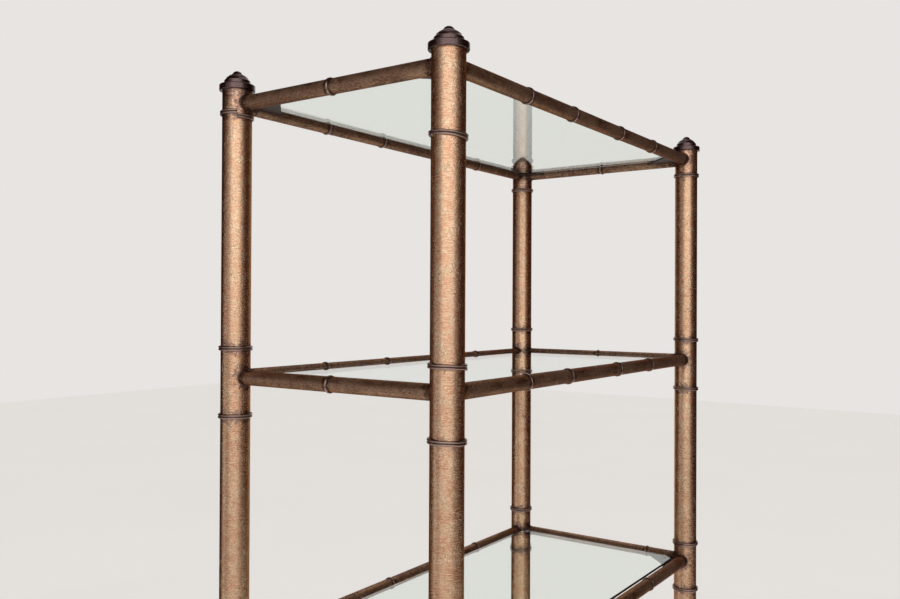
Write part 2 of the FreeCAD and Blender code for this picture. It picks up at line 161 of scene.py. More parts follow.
class EtagereColours(PropertyGroup):
    """Colours of the finishes."""
    leaf: FloatVectorProperty(
        name="Leaf", description="Rose-gold leaf", subtype="COLOR", size=4, default=linear("E8AE88"))
    pale_leaf: FloatVectorProperty(
        name="Pale leaf", description="Leaf where it is thick", subtype="COLOR", size=4, default=linear("FBDCB8"))
    ground: FloatVectorProperty(
        name="Ground", description="Brown size under the leaf", subtype="COLOR", size=4, default=linear("74422A"))
    stain: FloatVectorProperty(
        name="Stain", description="Flux stain by the joints", subtype="COLOR", size=4, default=linear("5A4440"))
    pale_stain: FloatVectorProperty(
        name="Pale stain", description="Thin flux stain", subtype="COLOR", size=4, default=linear("B89890"))
    rail_leaf: FloatVectorProperty(
        name="Rail leaf", description="Rubbed gold on the rails", subtype="COLOR", size=4, default=linear("9A7860"))
    rail_pale_leaf: FloatVectorProperty(
        name="Pale rail leaf", description="Thick gold on the rails", subtype="COLOR", size=4,
        default=linear("C2A086"))
    rail_ground: FloatVectorProperty(
        name="Rail ground", description="Brown of the rails", subtype="COLOR", size=4, default=linear("5C4234"))
    # Its darkest use, on the rail beside the ring collars, is partly painted shade.
    rail_stain_and_shade: FloatVectorProperty(
        name="Rail stain", description="Flux stain by the rail collars", subtype="COLOR", size=4,
        default=linear("241812"))
    wire: FloatVectorProperty(
        name="Collar bronze", description="Patina of the post collars", subtype="COLOR", size=4,
        default=linear("D6B6A8"))
    ring: FloatVectorProperty(
        name="Ring bronze", description="Patina of the rail collars", subtype="COLOR", size=4,
        default=linear("C0A094"))
    weld: FloatVectorProperty(
        name="Weld bronze", description="Patina of the weld beads", subtype="COLOR", size=4, default=linear("7C5E54"))
    black_bronze: FloatVectorProperty(
        name="Black bronze", description="Patina of the finials", subtype="COLOR", size=4, default=linear("826C6A"))
    glass: FloatVectorProperty(
        name="Glass", description="Tint of the shelves", subtype="COLOR", size=4, default=linear("F4FAF7"))


# ---- materials ----

def add_node(tree, kind, settings=None):
    """Add one node. A setting is a property, an input's value or the socket that feeds the input. The stops of a
    ramp are places and shades of grey."""
    made = tree.nodes.new(f"ShaderNode{kind}")
    for name, value in (settings or {}).items():
        if name == "stops":
            for element, (place, shade) in zip(made.color_ramp.elements, value):
                element.position = place
                element.color = (shade, shade, shade, 1)
        elif isinstance(value, bpy.types.NodeSocket):
            tree.links.new(value, made.inputs[name])
        elif isinstance(name, int) or name in made.inputs:
            made.inputs[name].default_value = value
        else:
            setattr(made, name, value)
    return made


def spots(tree, place, size, detail, roughness=0.5, distortion=0.0):
    """Noise from 0 to 1, in spots of about that size."""
    return add_node(tree, "TexNoise", {"Vector": place, "Scale": 1 / size, "Detail": detail, "Roughness": roughness,
                                       "Distortion": distortion}).outputs[0]


def calculate(tree, operation, *values):
    """What one Math node makes of its values."""
    return add_node(tree, "Math", {"operation": operation, **dict(enumerate(values))}).outputs[0]


def fit(tree, value, low, high, to_low=0.0, to_high=1.0):
    """A value moved from the range of low to high into another range, and kept inside that."""
    return add_node(tree, "MapRange", {"Value": value, "From Min": low, "From Max": high, "To Min": to_low,
                                       "To Max": to_high}).outputs[0]


def mix(tree, share, low, high):
    """A colour between two colours."""
    return add_node(tree, "Mix", {"data_type": "RGBA", 0: share, 6: low, 7: high}).outputs[2]


def darker(colour, share):
    """A colour with its light cut to that share."""
    return tuple(share * part for part in colour[:3]) + (1.0,)


def mark(tree, name):
    """A value that the mesh carries at each of its points."""
    return add_node(tree, "Attribute", {"attribute_name": name}).outputs["Fac"]


def new_material(name):
    """An empty material: the material, its tree and its coordinates in metres."""
    material = bpy.data.materials.new(name)
    material.use_nodes = True
    tree = material.node_tree
    tree.nodes.clear()
    return material, tree, add_node(tree, "TexCoord").outputs["Object"]


def leafed_tube(name, leaf, pale_leaf, ground, stain, pale_stain, roughness, wear_depth, dullness):
    """Imitation gold leaf on steel tube: laid over brown size, rubbed and distressed.

    The leaf is metal, so it mirrors in its own warm colour, a little rough, and less at a low angle, where tarnish
    dulls it. It is crinkled in short strokes round the tube, 2 to 4 mm wide, and folds in it show as brown creases a
    few centimetres long. Where it is worn it is rubbed in flecks towards the brown size under it: wear_depth is how
    far the worst of them go, and dullness how little metal is left there. Flux and heat have stained it in lilac and
    brown blotches round every joint; on the rails the dark stain beside the ring collars is partly painted shade.
    """
    material, tree, place = new_material(name)
    squashed = add_node(tree, "Mapping", {"Vector": place, "Scale": (1, 1, 3.2)}).outputs[0]
    crinkle = spots(tree, squashed, 4.5 * MM, 5, 0.7, 0.8)
    combed = add_node(tree, "Mapping", {"Vector": place, "Scale": (1, 1, 4.5)}).outputs[0]
    strokes = spots(tree, combed, 7 * MM, 4, 0.65, 0.5)
    patches = spots(tree, place, 16 * MM, 4, 0.6, 0.4)
    blotches = spots(tree, place, 7 * MM, 4, 0.6, 0.6)
    worn_here = calculate(tree, "ADD", spots(tree, place, 55 * MM, 2), mark(tree, "wear"))
    worn_here = fit(tree, worn_here, 0.55, 1.15)

    # Creases: the walls of warped cells, long on the slant, 26 mm apart and 11 mm apart.
    slanted = add_node(tree, "Mapping", {"Vector": place, "Rotation": (0.6, 0.9, 0.5), "Scale": (1, 1, 0.45)})
    bend = add_node(tree, "TexNoise", {"Vector": place, "Scale": 1 / (12 * MM), "Detail": 3})
    bent = add_node(tree, "Mix", {"data_type": "RGBA", "blend_type": "LINEAR_LIGHT", 0: 0.007,
                                  6: slanted.outputs[0], 7: bend.outputs["Color"]}).outputs[2]
    creases = []
    for spacing, width in ((26 * MM, 0.03), (11 * MM, 0.05)):
        walls = add_node(tree, "TexVoronoi", {"feature": "DISTANCE_TO_EDGE", "Vector": bent, "Scale": 1 / spacing})
        lines = add_node(tree, "ValToRGB", {0: walls.outputs["Distance"], "stops": ((0.0, 1.0), (width, 0.0))})
        creases.append(lines.outputs[0])
    broken = fit(tree, patches, 0.5, 0.64, 0.0, 0.5)
    crease = calculate(tree, "MULTIPLY", calculate(tree, "MAXIMUM", *creases), broken)

    # Flecks: the low spots of the crinkle, more of them where the leaf is worn.
    edge = fit(tree, worn_here, 0.0, 1.0, 0.37, 0.6)
    fleck = fit(tree, calculate(tree, "SUBTRACT", edge, crinkle), 0.0, 0.1)
    bare = calculate(tree, "MULTIPLY", calculate(tree, "MAXIMUM", fleck, crease), wear_depth)

    shade = fit(tree, calculate(tree, "MULTIPLY_ADD", strokes, 1.2, patches), 0.85, 1.35)
    tone = mix(tree, bare, mix(tree, shade, leaf, pale_leaf), ground)

    # Stains: blotches with a ragged edge, thin and pale where the leaf under them stands up.
    ragged = calculate(tree, "ADD", mark(tree, "stain"), fit(tree, blotches, 0.35, 0.65, -0.4, 0.4))
    stained = fit(tree, ragged, 0.4, 0.85, 0.0, 0.75)
    flux = mix(tree, fit(tree, crinkle, 0.44, 0.6), stain, pale_stain)
    tone = mix(tree, stained, tone, flux)

    metal = calculate(tree, "MULTIPLY_ADD", bare, -dullness, 1.0)
    dull = fit(tree, bare, 0.0, 1.0, roughness, roughness + 0.2)
    height = calculate(tree, "MULTIPLY_ADD", crease, -0.6, strokes)
    height = calculate(tree, "MULTIPLY_ADD", crinkle, 0.6, height)
    bump = add_node(tree, "Bump", {"Strength": 0.8, "Distance": 0.6 * MM, "Height": height}).outputs[0]
    shader = add_node(tree, "BsdfPrincipled", {"Base Color": tone, "Metallic": metal, "Roughness": dull,
                                               "Specular Tint": linear("8A6A58"), "Normal": bump})
    add_node(tree, "OutputMaterial", {"Surface": shader.outputs[0]})
    return material


def patinated_bronze(name, colour, roughness=0.28, lines=0.0, relieved=False):
    """Bronze wire or a turned bronze casting, darkened with liver of sulphur and waxed.

    The patina is a dark skin on metal: it mirrors weakly, in brown, and is patchy at a few millimetres. Wax leaves
    a soft sheen. A turned piece keeps fine rings from the lathe, lines of this depth. A piece in relief was rubbed
    back: its crown is bright, where the mesh's rubbed is 1, and it goes nearly black towards its sides and corners,
    which is patina left there and also painted shade.
    """
    material, tree, place = new_material(name)
    patches = spots(tree, place, 6 * MM, 4, 0.6)
    tone = mix(tree, patches, darker(colour, 0.45), colour)
    if relieved:
        # Nearly black away from the crown: patina in the corners, and painted shade.
        tone = mix(tree, mark(tree, "rubbed"), darker(colour, 0.1), tone)
    grain = spots(tree, place, 1.2 * MM, 3)
    bump = add_node(tree, "Bump", {"Strength": 0.35, "Distance": 0.12 * MM, "Height": grain}).outputs[0]
    if lines:
        rings = add_node(tree, "TexWave", {"bands_direction": "Z", "Vector": place, "Scale": 0.5 / (1.1 * MM),
                                           "Distortion": 0.6})
        bump = add_node(tree, "Bump", {"Strength": 0.5, "Distance": lines, "Height": rings.outputs["Fac"],
                                       "Normal": bump}).outputs[0]
    dull = fit(tree, patches, 0.0, 1.0, roughness - 0.05, roughness + 0.12)
    shader = add_node(tree, "BsdfPrincipled", {"Base Color": tone, "Metallic": 1.0, "Roughness": dull, "Normal": bump,
                                               "Coat Weight": 0.05, "Coat Roughness": 0.2})
    add_node(tree, "OutputMaterial", {"Surface": shader.outputs[0]})
    return material


def brown_enamel(name):
    """Air-dried brown enamel on steel plate, brushed by hand: thin and satin, with faint brush marks."""
    material, tree, place = new_material(name)
    brushed = add_node(tree, "Mapping", {"Vector": place, "Scale": (1, 6, 1)}).outputs[0]
    marks = spots(tree, brushed, 8 * MM, 3)
    brown = linear("3A2A23")
    bump = add_node(tree, "Bump", {"Strength": 0.3, "Distance": 0.1 * MM, "Height": marks}).outputs[0]
    shader = add_node(tree, "BsdfPrincipled", {"Base Color": mix(tree, marks, darker(brown, 0.6), brown),
                                               "Roughness": 0.45, "Specular IOR Level": 0.1, "Normal": bump})
    add_node(tree, "OutputMaterial", {"Surface": shader.outputs[0]})
    return material


def float_glass(name, colour):
    """Clear float glass with ground and polished edges: iron in it turns long paths through it green."""
    material, tree, _ = new_material(name)
    shader = add_node(tree, "BsdfPrincipled",
                      {"Base Color": colour, "Roughness": 0.0, "IOR": 1.52, "Transmission Weight": 1.0})
    iron = add_node(tree, "VolumeAbsorption", {"Color": linear("A9D8C2"), "Density": 7.0})
    add_node(tree, "OutputMaterial", {"Surface": shader.outputs[0], "Volume": iron.outputs[0]})
    return material


def soft_vinyl(name):
    """Clear soft vinyl, die-cut: milky, slightly rough, and see-through."""
    material, tree, place = new_material(name)
    tone = mix(tree, spots(tree, place, 3 * MM, 2), linear("E4E4DE"), linear("F2F2EE"))
    shader = add_node(tree, "BsdfPrincipled",
                      {"Base Color": tone, "Roughness": 0.3, "IOR": 1.53, "Transmission Weight": 0.6})
    add_node(tree, "OutputMaterial", {"Surface": shader.outputs[0]})
    return material


def moulded_nylon(name):
    """Black nylon, injection moulded: a fine spark-eroded grain leaves it matt."""
    material, tree, place = new_material(name)
    grain = spots(tree, place, 0.8 * MM, 3)
    bump = add_node(tree, "Bump", {"Strength": 0.4, "Distance": 0.05 * MM, "Height": grain}).outputs[0]
    shader = add_node(tree, "BsdfPrincipled", {"Base Color": mix(tree, grain, linear("202020"), linear("2E2E2D")),
                                               "Roughness": 0.55, "Normal": bump})
    add_node(tree, "OutputMaterial", {"Surface": shader.outputs[0]})
    return material


def tin_solder(name):
    """Tin solder, set in drops: bright grey metal, dulled by flux."""
    material, tree, place = new_material(name)
    tone = mix(tree, spots(tree, place, 2 * MM, 3), linear("8C8684"), linear("D6D2CE"))
    shader = add_node(tree, "BsdfPrincipled", {"Base Color": tone, "Metallic": 1.0, "Roughness": 0.22})
    add_node(tree, "OutputMaterial", {"Surface": shader.outputs[0]})
    return material


def studio_paper(name):
    """Rolled backdrop paper, matt and pale, with a faint unevenness."""
    material, tree, place = new_material(name)
    tone = mix(tree, spots(tree, place, 1.25, 2), linear("F8F6F4"), linear("FBFAF8"))
    shader = add_node(tree, "BsdfPrincipled", {"Base Color": tone, "Roughness": 0.9, "Specular IOR Level": 0.2})
    add_node(tree, "OutputMaterial", {"Surface": shader.outputs[0]})
    return material


def brown_felt(name):
    """Pressed wool felt, dark brown and matt, for reflections only: a ray that no surface has mirrored yet goes
    through it. It also thins out to nothing where the mesh's cover falls to 0."""
    material, tree, place = new_material(name)
    tone = mix(tree, spots(tree, place, 0.5, 2), linear("38241E"), linear("422A23"))
    felt = add_node(tree, "BsdfPrincipled", {"Base Color": tone, "Roughness": 1.0, "Specular IOR Level": 0.0})
    clear = add_node(tree, "BsdfTransparent")
    mirrored = calculate(tree, "GREATER_THAN", add_node(tree, "LightPath").outputs["Glossy Depth"], 0.5)
    cover = calculate(tree, "MULTIPLY", mark(tree, "cover"), mirrored)
    shader = add_node(tree, "MixShader", {0: cover, 1: clear.outputs[0], 2: felt.outputs[0]})
    add_node(tree, "OutputMaterial", {"Surface": shader.outputs[0]})
    return material


def material_named(name, make, **details):
    """The material of that name, made the first time it is asked for."""
    return bpy.data.materials.get(name) or make(name, **details)


def post_finish(colours):
    """Bright leaf that still covers well."""
    return material_named(
        "rose_gold_leaf", leafed_tube, leaf=colours.leaf, pale_leaf=colours.pale_leaf, ground=colours.ground,
        stain=colours.stain, pale_stain=colours.pale_stain, roughness=0.25, wear_depth=0.65, dullness=0.12)


def rail_finish(colours):
    """Leaf that was rubbed through to the brown nearly everywhere."""
    return material_named(
        "rubbed_gold_leaf", leafed_tube, leaf=colours.rail_leaf, pale_leaf=colours.rail_pale_leaf,
        ground=colours.rail_ground, stain=colours.rail_stain_and_shade, pale_stain=colours.rail_ground, roughness=0.34,
        wear_depth=0.9, dullness=0.5)


# ---- meshes ----

def smoothstep(value):
    """0 below 0, 1 above 1 and an S-curve between them."""
    value = min(max(value, 0.0), 1.0)
    return value * value * (3 - 2 * value)


def rows_to_faces(rows, around, first=0, loop=False):
    """Quads between rows of points that each go once around. With loop, the last row joins the first."""
    faces = []
    for row in range(rows if loop else rows - 1):
        following = (row + 1) % rows
        for place in range(around):
            beside = (place + 1) % around
            faces.append((first + row * around + place, first + row * around + beside,
                          first + following * around + beside, first + following * around + place))
    return faces


def new_piece(name, points, faces, material, slot, replaced=None, marks=None):
    """A smooth mesh that rides on the frame, and stands for the CAD node that it replaces. The marks are values of
    each point, by name, that its material reads."""
    mesh = bpy.data.meshes.new(name)
    mesh.from_pydata([tuple(point) for point in points], [], faces)
    mesh.validate()
    mesh.polygons.foreach_set("use_smooth", [True] * len(mesh.polygons))
    mesh.materials.append(material)
    for key, values in (marks or {}).items():
        mesh.attributes.new(key, "FLOAT", "POINT").data.foreach_set("value", values)
    mesh.update()
    piece = bpy.data.objects.new(name, mesh)
    bpy.context.scene.collection.objects.link(piece)
    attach(piece, BODY)
    if replaced:
        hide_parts(replaced)


def repaint(node, material):
    """Give a CAD node's own mesh a better material."""
    for material_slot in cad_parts[node].material_slots:
        material_slot.material = material


def volume(points, faces):
    """The volume that closed faces hold, negative where they face inwards."""
    total = 0.0
    for face in faces:
        corner, *others = (points[index] - points[0] for index in face)
        total += sum(corner.dot(second.cross(third)) for second, third in zip(others, others[1:])) / 6
    return total


def join(parts):
    """Several closed lists of points and faces as one, with all the faces turned outwards."""
    points = []
    faces = []
    for part_points, part_faces in parts:
        first = len(points)
        if volume(part_points, part_faces) < 0:
            part_faces = [tuple(reversed(face)) for face in part_faces]
        points.extend(part_points)
        faces.extend(tuple(index + first for index in face) for face in part_faces)
    return points, faces


# ---- the posts ----

# How worn the leaf is, from 0 to 1.
POST_WEAR = {"front_left": 0.02, "front_right": 0.25, "back_left": 0.15, "back_right": 0.22}
# How strongly flux and heat have stained the posts, as a share of the strongest.
POST_STAIN = {"front_left": 0.5, "front_right": 0.9, "back_left": 1.0, "back_right": 1.0}
# The stain by a collar: how strong it is, where it starts from the collar's middle, and its share of the full reach.
COLLAR_STAIN = 0.75
COLLAR_STAIN_START = 3.5 * MM
COLLAR_STAIN_REACH = 0.8
# The stain under a finial: how strong it is, and how far it comes down each post.
TOP_STAIN = 0.9
TOP_STAIN_REACH = {"front_left": 8 * MM, "front_right": 8 * MM, "back_left": 70 * MM, "back_right": 8 * MM}


def rail_directions(post):
    """The horizontal directions in which rails leave a post."""
    axis = POST_AXIS[post]
    return (math.copysign(1, -axis.x), 0), (0, math.copysign(1, -axis.y))


def post_stain(post, height, angle, collars, reach):
    """How much flux and heat have stained the post at one spot, from 0 to 1."""
    worst = 0.0
    for tier in TIERS:
        rise = height - TIER_HEIGHT[tier]
        if abs(rise) > RAIL_RADIUS + reach:
            continue
        for x, y in rail_directions(post):
            turn = (angle - math.atan2(y, x) + math.pi) % (2 * math.pi) - math.pi
            away = math.hypot(turn * POST_RADIUS, rise) - RAIL_RADIUS
            worst = max(worst, 1 - smoothstep(away / reach))
    for collar in collars:
        away = abs(height - collar) - COLLAR_STAIN_START
        worst = max(worst, COLLAR_STAIN * (1 - smoothstep(away / (COLLAR_STAIN_REACH * reach))))
    worst = max(worst, TOP_STAIN * (1 - smoothstep((POST_TOP[post] - height) / TOP_STAIN_REACH[post])))
    return worst * POST_STAIN[post]


def make_post(post, sizes, colours):
    """One leafed post."""
    axis = POST_AXIS[post]
    collars = collar_heights(post)
    length = POST_TOP[post] - POST_LOW
    rings = round(length / sizes.ring_step) + 1
    points = []
    stains = []
    for ring in range(rings):
        height = POST_LOW + length * ring / (rings - 1)
        for place in range(sizes.tube_segments):
            angle = 2 * math.pi * place / sizes.tube_segments
            points.append((axis.x + POST_RADIUS * math.cos(angle), axis.y + POST_RADIUS * math.sin(angle), height))
            stains.append(post_stain(post, height, angle, collars, sizes.scorch_reach))
    faces = rows_to_faces(rings, sizes.tube_segments)
    node = f"post_{post}"
    new_piece(f"leafed_{node}", points, faces, post_finish(colours), "gilded_steel_post", node,
              {"stain": stains, "wear": [POST_WEAR[post]] * len(points)})


class ETAGERE_OT_posts(Operator):
    """Lay leaf on the four posts"""
    bl_idname = "etagere.posts"
    bl_label = "Posts"

    def execute(self, context):
        for post in POSTS:
            make_post(post, context.scene.etagere_sizes, context.scene.etagere_colours)
        return {"FINISHED"}


# ---- the rails and their welds ----

# How worn the leaf is, from 0 to 1.
RAIL_WEAR = 0.5
# Flux stain and painted shade beside a ring collar: how strong it is, where it starts from the ring's middle, and how
# far.
RING_STAIN_AND_SHADE = 1.2
RING_STAIN_AND_SHADE_START = 2.5 * MM
RING_STAIN_AND_SHADE_REACH = 7 * MM
# The beads: steps round the rail, points round the bead, how uneven they are as a share of their radius, how often
# that changes, and how far their middle stands off both tubes as a share of the radius.
WELD_STEPS = 72
WELD_SECTION = 10
WELD_UNEVENNESS = 0.4
WELD_CHANGES = 1.6
WELD_STAND_OFF = 0.3


def make_rail(side, tier, sizes, colours):
    """One rail, with its ends coped to the posts."""
    along, offset = rail_line(side)
    across = UP.cross(along)
    half = HALF_LENGTH if along.x else HALF_DEPTH
    centre = offset + UP * TIER_HEIGHT[tier]
    rings = round(2 * half / sizes.ring_step) + 1
    collars = ring_places(side, tier)
    points = []
    stains = []
    for ring in range(rings):
        share = 2 * ring / (rings - 1) - 1
        for place in range(sizes.tube_segments):
            angle = 2 * math.pi * place / sizes.tube_segments
            sideways = RAIL_RADIUS * math.cos(angle)
            reach = half - math.sqrt(POST_RADIUS ** 2 - sideways ** 2)
            spot = along * (share * reach) + across * sideways + UP * RAIL_RADIUS * math.sin(angle)
            points.append(centre + spot)
            away = (1 - abs(share)) * reach
            worst = 1 - smoothstep(away / sizes.scorch_reach)
            # Beside each ring collar the rail darkens: flux stain, and painted shade in the corner by the ring.
            for collar in collars:
                away = abs(share * reach - collar) - RING_STAIN_AND_SHADE_START
                worst = max(worst, RING_STAIN_AND_SHADE * (1 - smoothstep(away / RING_STAIN_AND_SHADE_REACH)))
            stains.append(worst)
    faces = rows_to_faces(rings, sizes.tube_segments)
    node = f"rail_{side}_tier_{tier}"
    new_piece(f"leafed_{node}", points, faces, rail_finish(colours), "gilded_steel_rail", node,
              {"stain": stains, "wear": [RAIL_WEAR] * len(points)})


def weld_bead(side, end, tier, sizes):
    """Points and faces of the bead round one rail's end, where the rail meets its post."""
    along, offset = rail_line(side)
    inwards = along * -end
    across = UP.cross(along)
    half = HALF_LENGTH if along.x else HALF_DEPTH
    centre = offset + along * (end * half) + UP * TIER_HEIGHT[tier]
    ripples = round(2 * math.pi * RAIL_RADIUS / sizes.weld_ripple_pitch)
    # Each bead takes its unevenness from a place of its own in the noise.
    seed = Vector((end * 7.3, tier * 3.1, SIDES.index(side) * 5.7))
    points = []
    for step in range(WELD_STEPS):
        angle = 2 * math.pi * step / WELD_STEPS
        outwards = math.cos(angle) * across + math.sin(angle) * UP
        sideways = RAIL_RADIUS * math.cos(angle)
        uneven = noise.noise(seed + WELD_CHANGES * outwards)
        radius = sizes.weld_radius * (1 + WELD_UNEVENNESS * uneven)
        radius += sizes.weld_ripple * math.cos(ripples * angle)
        hub = centre + outwards * (RAIL_RADIUS + WELD_STAND_OFF * radius)
        hub += inwards * (math.sqrt(POST_RADIUS ** 2 - sideways ** 2) + WELD_STAND_OFF * radius)
        for turn in range(WELD_SECTION):
            about = 2 * math.pi * turn / WELD_SECTION
            points.append(hub + radius * (math.cos(about) * outwards + math.sin(about) * inwards))
    return points, rows_to_faces(WELD_STEPS, WELD_SECTION, loop=True)


class ETAGERE_OT_rails(Operator):
    """Lay rubbed leaf on the rails of every tier"""
    bl_idname = "etagere.rails"
    bl_label = "Rails"

    def execute(self, context):
        for tier in TIERS:
            for side in SIDES:
                make_rail(side, tier, context.scene.etagere_sizes, context.scene.etagere_colours)
        return {"FINISHED"}


class ETAGERE_OT_welds(Operator):
    """Run a weld bead round both ends of every rail"""
    bl_idname = "etagere.welds"
    bl_label = "Weld beads"

    def execute(self, context):
        finish = material_named("brown_bronze_weld", patinated_bronze, colour=context.scene.etagere_colours.weld)
        for tier in TIERS:
            beads = [weld_bead(side, end, tier, context.scene.etagere_sizes) for side in SIDES for end in (-1, 1)]
            new_piece(f"weld_beads_tier_{tier}", *join(beads), finish, "dark_bronze")
        return {"FINISHED"}


# ---- the collars ----

# How far the hand-set collars lean, in degrees, as (upper wire, lower wire). They turn about an axis that points from
# the left front to the right back of the etagere, so that their right-hand side drops. The rest lean at random, by up
# to the spread.
LEANS = {
    ("front_left", TOP_TIER, "lower"): (5.0, 6.5),
    ("back_left", TOP_TIER, "lower"): (3.0, 3.4),
    ("front_left", TOP_TIER - 1, "upper"): (1.6, 1.8),
    ("front_left", TOP_TIER - 1, "lower"): (1.8, 2.0),
    ("front_right", TOP_TIER - 1, "upper"): (1.7, 2.1),
    ("front_right", TOP_TIER - 1, "lower"): (1.5, 1.6),
}
LEAN_AXIS = Vector((0.818, 0.575, 0))
LEAN_SPREAD = 0.6
# The collar whose wires were never closed: where they start, and by how much their ends pass each other.
OPEN_COLLAR = ("back_left", TOP_TIER, "lower")
OPEN_START = math.radians(228)
OPEN_LEAD = 6.0 * MM
# The wires: steps round the post, where the points round the wire lie, from the outermost one on, how far the wires
# wave up and down, and half the gap between two of them.
WIRE_STEPS = 96
WIRE_ANGLES = [2 * math.pi * turn / 12 for turn in range(12)]
WIRE_WAVE = 0.12 * MM
WIRE_HALF_GAP = 0.1 * MM
# The solder drops: their size as a share of the set radius, at random, rows from top to bottom, points round each row,
# height over width, how uneven they are as a share of their radius, and how often that changes.
DROP_SIZES = 0.7, 1.1
DROP_ROWS = 8
DROP_AROUND = 12
DROP_STRETCH = 1.3
DROP_UNEVENNESS = 0.2
DROP_CHANGES = 1.5
# The rings: steps round the rail, where the points over the rounded face lie, the width along the rail, how far they
# bite into the rail so that no light passes, and how far they lean at random, in degrees.
RING_STEPS = 72
RING_ANGLES = [math.pi * turn / 8 for turn in range(9)]
RING_WIDTH = 5.5 * MM
RING_BITE = 0.2 * MM
RING_LEAN_SPREAD = 1.2
# How squarely a spot has to face away from its tube, from 0 to 1, to be rubbed fully bright, free of the patina and
# painted shade that darken the collars' sides.
FULLY_RUBBED_AND_LIT = 0.9
# Where in the noise a wire or a drop takes its unevenness from.
NOISE_SPAN = 0, 50


def rubbed_and_shaded_crowns(points, outward):
    """How far each point of a row of sections is rubbed back and kept out of the painted shade on the sides. Outward
    gives, for the points of one section, how much they face away from the tube, from -1 to 1."""
    section = [smoothstep(share / FULLY_RUBBED_AND_LIT) for share in outward]
    return {"rubbed": section * (len(points) // len(section))}


def collar_key(post, height):
    """Which collar this is: its post, the tier it belongs to, and upper or lower."""
    nearest = min(TIERS, key=lambda tier: abs(TIER_HEIGHT[tier] - height))
    return post, nearest, "upper" if height > TIER_HEIGHT[nearest] else "lower"


def wire_turn(centre, major, minor, tilt, lead, seed):
    """Points and faces of a bent wire: a closed ring, tilted, or with a lead an open turn that climbs."""
    points = []
    steps = WIRE_STEPS + 1 if lead else WIRE_STEPS
    section = len(WIRE_ANGLES)
    for step in range(steps):
        share = step / WIRE_STEPS
        angle = OPEN_START + 2 * math.pi * share
        outwards = Vector((math.cos(angle), math.sin(angle), 0))
        wave = WIRE_WAVE * noise.noise(Vector((2 * math.cos(angle), 2 * math.sin(angle), seed)))
        hub = outwards * major + UP * (lead * (share - 0.5) + wave)
        for about in WIRE_ANGLES:
            spot = hub + minor * (math.cos(about) * outwards + math.sin(about) * UP)
            points.append(centre + tilt @ spot)
    faces = rows_to_faces(steps, section, loop=not lead)
    if lead:
        faces.append(tuple(range(section)))
        faces.append(tuple(reversed(range(len(points) - section, len(points)))))
    return points, faces


def make_post_collars(post, sizes, colours):
    """The wire collars of one post: two turns of wire each, slid on and soldered."""
    dice = random.Random(f"collars {post}")
    wire = (POST_COLLAR_REACH - POST_RADIUS) / 2
    parts = []
    drops = []
    for height in collar_heights(post):
        key = collar_key(post, height)
        at_random = dice.uniform(-LEAN_SPREAD, LEAN_SPREAD), dice.uniform(-LEAN_SPREAD, LEAN_SPREAD)
        leans = LEANS.get(key, at_random)
        centre = Vector((*POST_AXIS[post], height))
        lead = OPEN_LEAD if key == OPEN_COLLAR else 0.0
        for lean, side in zip(leans, (1, -1)):
            tilt = Matrix.Rotation(math.radians(lean), 3, LEAN_AXIS)
            seat = centre + UP * side * (wire + WIRE_HALF_GAP)
            parts.append(wire_turn(seat, POST_COLLAR_REACH - wire, wire, tilt, lead, dice.uniform(*NOISE_SPAN)))
        angle = dice.uniform(0, 2 * math.pi)
        drops.append((centre, angle, tilt, sizes.solder_radius * dice.uniform(*DROP_SIZES)))
    node = f"post_collars_{post}"
    points, faces = join(parts)
    finish = material_named("relieved_bronze_wire", patinated_bronze, colour=colours.wire, relieved=True)
    # The wire darkens away from its crown: patina in the corners by the post and the other wire, and painted shade.
    rubbed = rubbed_and_shaded_crowns(points, [math.cos(about) for about in WIRE_ANGLES])
    new_piece(f"wire_{node}", points, faces, finish, "dark_bronze", node, rubbed)
    parts = []
    for centre, angle, tilt, radius in drops:
        outwards = Vector((math.cos(angle), math.sin(angle), 0))
        hub = centre + tilt @ (outwards * (POST_RADIUS + wire) - UP * 2 * wire)
        parts.append(solder_drop(hub, radius, dice.uniform(*NOISE_SPAN)))
    new_piece(f"solder_drops_{post}", *join(parts), material_named("tin_solder", tin_solder), "dark_bronze")


def solder_drop(centre, radius, seed):
    """Points and faces of a set drop: a ball stretched along Z and made uneven."""
    points = [centre + UP * radius * DROP_STRETCH]
    for row in range(1, DROP_ROWS):
        down = math.pi * row / DROP_ROWS
        for place in range(DROP_AROUND):
            angle = 2 * math.pi * place / DROP_AROUND
            outwards = Vector((math.sin(down) * math.cos(angle), math.sin(down) * math.sin(angle), math.cos(down)))
            uneven = 1 + DROP_UNEVENNESS * noise.noise(outwards * DROP_CHANGES + Vector((seed, 0, 0)))
            points.append(centre + radius * uneven * Vector((outwards.x, outwards.y, outwards.z * DROP_STRETCH)))
    points.append(centre - UP * radius * DROP_STRETCH)
    last = len(points) - 1
    faces = rows_to_faces(DROP_ROWS - 1, DROP_AROUND, first=1)
    for place in range(DROP_AROUND):
        beside = (place + 1) % DROP_AROUND
        faces.append((0, 1 + beside, 1 + place))
        faces.append((last, last - DROP_AROUND + place, last - DROP_AROUND + beside))
    return points, faces


class ETAGERE_OT_post_collars(Operator):
    """Wind the wire collars round the posts and solder them"""
    bl_idname = "etagere.post_collars"
    bl_label = "Post collars"

    def execute(self, context):
        for post in POSTS:
            make_post_collars(post, context.scene.etagere_sizes, context.scene.etagere_colours)
        return {"FINISHED"}


def rail_ring(centre, along, reach, tilt):
    """Points and faces of one ring collar with a rounded face."""
    bore = RAIL_RADIUS - RING_BITE
    side = along.orthogonal().normalized()
    other_side = along.cross(side)
    points = []
    for step in range(RING_STEPS):
        angle = 2 * math.pi * step / RING_STEPS
        outwards = math.cos(angle) * side + math.sin(angle) * other_side
        for about in RING_ANGLES:
            spot = outwards * (bore + (reach - bore) * math.sin(about)) - along * (RING_WIDTH / 2) * math.cos(about)
            points.append(centre + tilt @ spot)
    return points, rows_to_faces(RING_STEPS, len(RING_ANGLES), loop=True)


